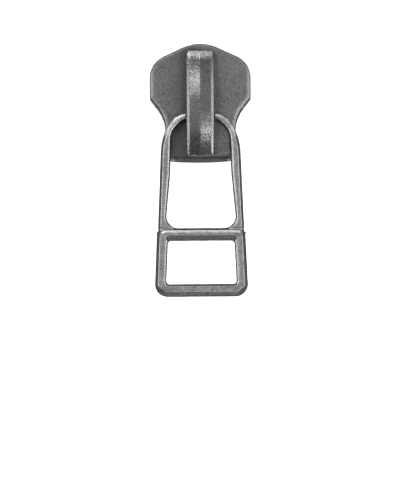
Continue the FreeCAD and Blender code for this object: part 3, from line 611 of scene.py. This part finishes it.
# ------------------------------------------------------------------ materials
def nodes_of(name):
    m = bpy.data.materials.new(name)
    m.use_nodes = True
    t = m.node_tree
    t.nodes.clear()
    out = t.nodes.new("ShaderNodeOutputMaterial")
    bsdf = t.nodes.new("ShaderNodeBsdfPrincipled")
    t.links.new(bsdf.outputs[0], out.inputs[0])
    return m, t, bsdf


def math_node(t, op, a, b=None, clamp=False):
    n = t.nodes.new("ShaderNodeMath")
    n.operation = op
    n.use_clamp = clamp
    for i, x in enumerate((a, b)):
        if x is None:
            continue
        if isinstance(x, (int, float)):
            n.inputs[i].default_value = x
        else:
            t.links.new(x, n.inputs[i])
    return n.outputs[0]


def remap(t, x, a, b, c=0.0, d=1.0, smooth=True):
    n = t.nodes.new("ShaderNodeMapRange")
    n.interpolation_type = "SMOOTHSTEP" if smooth else "LINEAR"
    n.clamp = True
    t.links.new(x, n.inputs["Value"])
    for key, v in (("From Min", a), ("From Max", b), ("To Min", c), ("To Max", d)):
        n.inputs[key].default_value = v
    return n.outputs["Result"]


def mix(t, f, a, b):
    n = t.nodes.new("ShaderNodeMix")
    n.data_type = "RGBA"
    t.links.new(f, n.inputs["Factor"])
    for key, x in ((6, a), (7, b)):
        if isinstance(x, tuple):
            n.inputs[key].default_value = x + (1.0,)
        else:
            t.links.new(x, n.inputs[key])
    return n.outputs[2]


def noise(t, scale_mm, detail=3.0, rough=0.55, offset=0.0):
    geo = t.nodes.new("ShaderNodeTexCoord")
    mp = t.nodes.new("ShaderNodeMapping")
    mp.inputs["Location"].default_value = (offset, offset * 0.7, -offset)
    t.links.new(geo.outputs["Object"], mp.inputs["Vector"])
    n = t.nodes.new("ShaderNodeTexNoise")
    n.inputs["Scale"].default_value = 1.0 / (scale_mm * MM)
    n.inputs["Detail"].default_value = detail
    n.inputs["Roughness"].default_value = rough
    t.links.new(mp.outputs[0], n.inputs["Vector"])
    return n.outputs["Fac"]


def attribute(t, name):
    n = t.nodes.new("ShaderNodeAttribute")
    n.attribute_name = name
    return n.outputs["Fac"]


def cast_metal(name, dark, mid, bright, wear_from, wear_to, rough, bump):
    """Die-cast zinc with antique nickel plate: dark patina, worn bright on convex edges, fine tumbled grain, and
    painted shade where the stored shade value is high.
    """
    m, t, b = nodes_of(name)
    wear, painted_shade_amount = attribute(t, "wear"), attribute(t, "painted_shade_amount")
    fine, grain, cloud = noise(t, 0.09, 2.0), noise(t, 0.21, 3.0, offset=0.01), noise(t, 1.6, 3.0, offset=0.03)
    patch = remap(t, grain, 0.36, 0.66)
    tone = mix(t, patch, dark, mid)
    cloudy = mix(t, remap(t, cloud, 0.35, 0.7, 0.0, 0.45), tone, mid)
    ragged = math_node(t, "ADD", wear, math_node(t, "MULTIPLY", math_node(t, "SUBTRACT", grain, 0.5), 1.6))
    worn = remap(t, ragged, wear_from, wear_to)
    specks = remap(t, fine, 0.64, 0.74, 0.0, 0.35)
    shine = math_node(t, "MAXIMUM", worn, specks)
    lit = mix(t, shine, cloudy, bright)
    # painted shade: darkens the colour towards near-black, and roughens it, where the stored occlusion and extra
    # shade value is high
    shade = remap(t, painted_shade_amount, 0.35, 1.0, 0.0, 0.6)
    colour_with_painted_shade = mix(t, shade, lit, tuple(x * 0.35 for x in dark))
    t.links.new(colour_with_painted_shade, b.inputs["Base Color"])
    b.inputs["Metallic"].default_value = 1.0
    r = math_node(t, "ADD", remap(t, fine, 0.3, 0.7, rough - 0.05, rough + 0.08, smooth=False),
                  math_node(t, "MULTIPLY", shine, -0.14))
    r = math_node(t, "ADD", r, math_node(t, "MULTIPLY", shade, 0.2), clamp=True)
    t.links.new(r, b.inputs["Roughness"])
    bm = t.nodes.new("ShaderNodeBump")
    bm.inputs["Strength"].default_value = bump
    bm.inputs["Distance"].default_value = 0.012 * MM
    height = math_node(t, "ADD", math_node(t, "MULTIPLY", fine, 0.6), math_node(t, "MULTIPLY", grain, 0.7))
    t.links.new(height, bm.inputs["Height"])
    t.links.new(bm.outputs[0], b.inputs["Normal"])
    return m


def rolled_steel(name, tone, rough, stretch):
    """Rolled or stamped strip: fine drawn lines along its length, a brighter cut edge."""
    m, t, b = nodes_of(name)
    geo = t.nodes.new("ShaderNodeTexCoord")
    mp = t.nodes.new("ShaderNodeMapping")
    mp.inputs["Scale"].default_value = stretch
    t.links.new(geo.outputs["Object"], mp.inputs["Vector"])
    n = t.nodes.new("ShaderNodeTexNoise")
    n.inputs["Scale"].default_value = 1.0 / (0.08 * MM)
    n.inputs["Detail"].default_value = 3.0
    t.links.new(mp.outputs[0], n.inputs["Vector"])
    lines = n.outputs["Fac"]
    wear = attribute(t, "wear")
    tint = mix(t, remap(t, lines, 0.3, 0.7), tuple(x * 0.72 for x in tone), tone)
    edge = mix(t, remap(t, wear, 0.8, 2.6), tint, tuple(min(1.0, x * 1.35) for x in tone))
    t.links.new(edge, b.inputs["Base Color"])
    b.inputs["Metallic"].default_value = 1.0
    t.links.new(remap(t, lines, 0.25, 0.75, rough - 0.06, rough + 0.1, smooth=False), b.inputs["Roughness"])
    bm = t.nodes.new("ShaderNodeBump")
    bm.inputs["Strength"].default_value = 0.25
    bm.inputs["Distance"].default_value = 0.004 * MM
    t.links.new(lines, bm.inputs["Height"])
    t.links.new(bm.outputs[0], b.inputs["Normal"])
    return m


body_metal = cast_metal("antique_nickel_body", (0.088, 0.088, 0.091), (0.150, 0.150, 0.153), (0.60, 0.595, 0.585),
                        1.0, 3.0, 0.40, 0.5)
crown_metal = cast_metal("antique_nickel_crown", (0.084, 0.084, 0.087), (0.140, 0.140, 0.143), (0.60, 0.595, 0.585),
                         0.8, 2.6, 0.225, 0.25)
pull_metal = cast_metal("antique_nickel_pull", (0.158, 0.158, 0.162), (0.295, 0.295, 0.299), (0.66, 0.655, 0.645),
                        3.2, 5.6, 0.31, 0.4)
pawl_metal = rolled_steel("stamped_steel", (0.50, 0.49, 0.475), 0.34, (1.0, 0.12, 1.0))
leaf_metal = rolled_steel("spring_strip_steel", (0.56, 0.55, 0.52), 0.28, (1.0, 0.06, 1.0))

slider_body().data.materials.append(body_metal)
crown_cover().data.materials.append(crown_metal)
lock_pawl().data.materials.append(pawl_metal)
leaf_spring().data.materials.append(leaf_metal)
pull_tab().data.materials.append(pull_metal)


# ------------------------------------------------------------------ floor, light, camera
def seen_by(t, glossy, other):
    """A value that mirror-like rays see as the first number and all other rays as the second."""
    path = t.nodes.new("ShaderNodeLightPath")
    return remap(t, path.outputs["Is Glossy Ray"], 0.0, 1.0, other, glossy, smooth=False)


def floor_material():
    """Pale floor; the metal mirrors it darker than the camera sees it, as in a light tent with a black card."""
    m, t, b = nodes_of("pale_floor")
    level = seen_by(t, 0.10, 0.93)
    grey = t.nodes.new("ShaderNodeCombineColor")
    for i in range(3):
        t.links.new(level, grey.inputs[i])
    t.links.new(grey.outputs[0], b.inputs["Base Color"])
    b.inputs["Roughness"].default_value = 0.9
    b.inputs["Specular IOR Level"].default_value = 0.0
    return m


size = 0.6
data = bpy.data.meshes.new("floor")
data.from_pydata([(-size, -size, 0), (size, -size, 0), (size, size, 0), (-size, size, 0)], [], [(0, 1, 2, 3)])
floor = bpy.data.objects.new("floor", data)
floor.location = (0, 0, low0[2] - 0.00002)
bpy.context.scene.collection.objects.link(floor)
data.materials.append(floor_material())

aim = Vector((-0.142 * MM, -16.48 * MM, PIN_Z * MM))


def area(name, direction, distance, w, h, power, tint=(1, 1, 1)):
    """A soft box in a direction given as (azimuth from +X anticlockwise, elevation), aimed at the object."""
    az, el = math.radians(direction[0]), math.radians(direction[1])
    at = Vector((0, -0.008, 0.005))
    light = bpy.data.lights.new(name, "AREA")
    light.shape = "RECTANGLE"
    light.size, light.size_y = w, h
    light.energy = power
    light.color = tint
    o = bpy.data.objects.new(name, light)
    o.location = at + Vector((math.cos(az) * math.cos(el), math.sin(az) * math.cos(el), math.sin(el))) * distance
    o.rotation_euler = (at - o.location).to_track_quat("-Z", "Y").to_euler()
    bpy.context.scene.collection.objects.link(o)
    return o


area("front_box", (84, 42), 0.35, 0.34, 0.11, 0.42)
area("front_left_box", (120, 44), 0.35, 0.09, 0.08, 0.21)
area("rear_right_box", (-36, 41), 0.35, 0.10, 0.11, 0.27)
area("left_box", (180, 43), 0.35, 0.30, 0.26, 0.88)
area("right_box", (0, 43), 0.35, 0.30, 0.26, 0.80)
area("rear_box", (-90, 33), 0.35, 0.30, 0.07, 0.28)


def overhead(name, across, along, w, h, power):
    """A soft box nearly overhead, given by its angles off the zenith towards +X and +Y, its sides along X and Y."""
    at = Vector((0, 0, 0.007))
    d = Vector((math.tan(math.radians(across)), math.tan(math.radians(along)), 1)).normalized()
    u = (Vector((1, 0, 0)) - d * d.x).normalized()
    light = bpy.data.lights.new(name, "AREA")
    light.shape = "RECTANGLE"
    light.size, light.size_y = w, h
    light.energy = power
    o = bpy.data.objects.new(name, light)
    o.location = at + d * 0.40
    o.rotation_euler = Matrix((u, d.cross(u), d)).transposed().to_euler()
    bpy.context.scene.collection.objects.link(o)


overhead("left_top", -14, 15.5, 0.07, 0.08, 0.155)
overhead("right_top", 14, 6, 0.11, 0.28, 0.085)
overhead("left_low_top", -14, -7, 0.09, 0.18, 0.055)
overhead("rear_right_top", 14, -18, 0.06, 0.028, 0.088)

world = bpy.data.worlds.new("studio")
bpy.context.scene.world = world
world.use_nodes = True
t = world.node_tree
t.nodes.clear()
out = t.nodes.new("ShaderNodeOutputWorld")
bg = t.nodes.new("ShaderNodeBackground")
bg.inputs["Color"].default_value = (0.96, 0.97, 1.0, 1)
# for mirror-like rays: grey overhead, falling off to nearly black at the horizon
geo = t.nodes.new("ShaderNodeNewGeometry")
split = t.nodes.new("ShaderNodeSeparateXYZ")
t.links.new(geo.outputs["Incoming"], split.inputs[0])
up = math_node(t, "ABSOLUTE", split.outputs["Z"])
band = math_node(t, "MULTIPLY", remap(t, up, 0.25, 0.45), remap(t, up, 0.62, 0.82, 0.25, 0.0))
height = math_node(t, "ADD", remap(t, up, 0.0, 0.7, 0.09, 0.17), band)
lit = t.nodes.new("ShaderNodeMix")
lit.data_type = "FLOAT"
t.links.new(t.nodes.new("ShaderNodeLightPath").outputs["Is Glossy Ray"], lit.inputs["Factor"])
lit.inputs["A"].default_value = 1.10
t.links.new(height, lit.inputs["B"])
t.links.new(lit.outputs["Result"], bg.inputs["Strength"])
t.links.new(bg.outputs[0], out.inputs[0])

cam_data = bpy.data.cameras.new("camera")
cam = bpy.data.objects.new("camera", cam_data)
bpy.context.scene.collection.objects.link(cam)
tilt = math.radians(3.0)
back = Vector((0, -math.sin(tilt), math.cos(tilt)))
reach = 1.0
cam.location = aim + back * reach
cam.rotation_mode = "QUATERNION"
cam.rotation_quaternion = (-back).to_track_quat("-Z", "Y") @ Quaternion((0, 0, 1), -0.00684)
cam_data.sensor_width = 36.0
cam_data.lens = 18.0 / (250 * 0.1107 * MM / reach)
cam_data.clip_start, cam_data.clip_end = 0.01, 5.0
bpy.context.scene.camera = cam
bpy.context.scene.view_settings.view_transform = "Standard"
